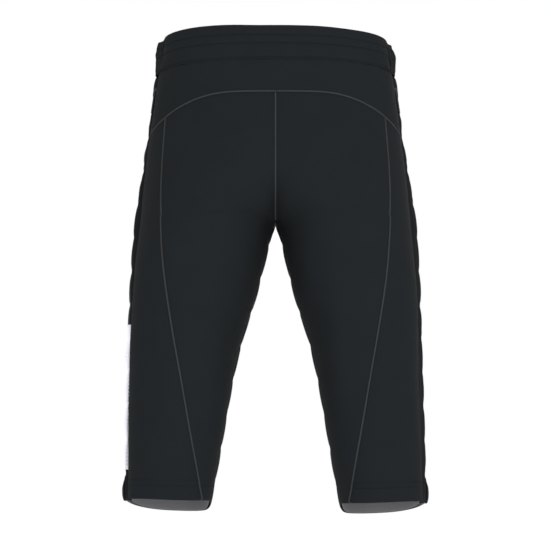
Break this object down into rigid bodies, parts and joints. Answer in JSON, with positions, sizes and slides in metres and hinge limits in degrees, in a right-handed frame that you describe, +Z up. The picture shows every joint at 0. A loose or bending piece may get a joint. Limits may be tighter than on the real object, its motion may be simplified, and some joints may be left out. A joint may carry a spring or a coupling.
{
  "type": "padded ski shorts",
  "caption": "Three-quarter length ski shorts with quilted padded fronts, impact pads inside, and a full-length zip down each side.",
  "frame": {"origin": "centre of the waist opening, at the top edge of the waistband", "axes": "+Z up out of the waist, front of the garment faces -Y, wearer's left is +X"},
  "size_m": [0.3838, 0.2347, 0.5912],
  "materials": {
    "band_black": "firm woven band with stitch rows",
    "elastic_black": "ribbed woven elastic",
    "facing_grey": "brushed tricot",
    "label_white": "blank satin label",
    "lining_grey": "smooth lining taffeta",
    "pad_foam": "perforated closed-cell foam",
    "piping_grey": "flatlock thread cover",
    "pocket_mesh": "open mesh",
    "quilt_black": "fine down-proof weave, soft sheen, sewn in channels",
    "snap_metal": "black oxide",
    "softshell_black": "smooth matt woven stretch softshell",
    "stripe_white": "printed elastic trim",
    "tab_black": "rubberised tab",
    "wadding_white": "lofted polyester wadding",
    "zip_metal": "black lacquered die-cast",
    "zip_tape": "woven herringbone tape",
    "zip_teeth": "moulded acetal"
  },
  "bodies": {
    "garment": {"back_yoke": "softshell_black", "blank_label": "label_white", "centre_back_piping": "piping_grey", "hang_loop": "band_black", "left_back_panel": "softshell_black", "left_front_lining": "lining_grey", "left_front_panel": "quilt_black", "left_front_wadding": "wadding_white", "left_hem_facing": "facing_grey", "left_hem_tab": "tab_black", "left_hip_pad": "pad_foam", "left_side_panel": "softshell_black", "left_side_piping": "piping_grey", "left_side_stripe": "stripe_white", "left_thigh_pad": "pad_foam", "left_waist_snap_cap": "snap_metal", "left_waist_snap_stud": "snap_metal", "left_zip_bottom_box": "zip_teeth", "left_zip_guard": "softshell_black", "left_zip_tape_back": "zip_tape", "left_zip_tape_front": "zip_tape", "left_zip_teeth_back": "zip_teeth", "left_zip_teeth_front": "zip_teeth", "left_zip_top_stops": "zip_teeth", "pad_pockets": "pocket_mesh", "right_back_panel": "softshell_black", "right_front_lining": "lining_grey", "right_front_panel": "quilt_black", "right_front_wadding": "wadding_white", "right_hem_facing": "facing_grey", "right_hem_tab": "tab_black", "right_hip_pad": "pad_foam", "right_side_panel": "softshell_black", "right_side_piping": "piping_grey", "right_thigh_pad": "pad_foam", "right_waist_snap_cap": "snap_metal", "right_waist_snap_stud": "snap_metal", "right_zip_bottom_box": "zip_teeth", "right_zip_guard": "softshell_black", "right_zip_tape_back": "zip_tape", "right_zip_tape_front": "zip_tape", "right_zip_teeth_back": "zip_teeth", "right_zip_teeth_front": "zip_teeth", "right_zip_top_stops": "zip_teeth", "tailbone_pad": "pad_foam", "waist_elastic": "elastic_black", "waist_eyelets": "snap_metal", "waistband_back": "band_black", "waistband_facing_back": "facing_grey", "waistband_facing_front": "facing_grey", "waistband_front": "band_black", "yoke_piping": "piping_grey"},
    "left_slider": {"left_zip_slider": "zip_metal"},
    "left_pull": {"left_zip_pull": "zip_metal"},
    "right_slider": {"right_zip_slider": "zip_metal"},
    "right_pull": {"right_zip_pull": "zip_metal"}
  },
  "joints": [
    {"name": "left_zip", "type": "hinge", "parent": "garment", "child": "left_slider", "pos_m": [-3.17986, 0, -0.5259], "axis": [0, 1, 0], "range_deg": [0, 8.48]},
    {"name": "left_pull", "type": "hinge", "parent": "left_slider", "child": "left_pull", "pos_m": [0.15334, 0, -0.05915], "axis": [0, -1, 0], "range_deg": [0, 150]},
    {"name": "right_zip", "type": "hinge", "parent": "garment", "child": "right_slider", "pos_m": [3.17986, 0, -0.5259], "axis": [0, -1, 0], "range_deg": [0, 8.48]},
    {"name": "right_pull", "type": "hinge", "parent": "right_slider", "child": "right_pull", "pos_m": [-0.15334, 0, -0.05915], "axis": [0, 1, 0], "range_deg": [0, 150]}
  ]
}
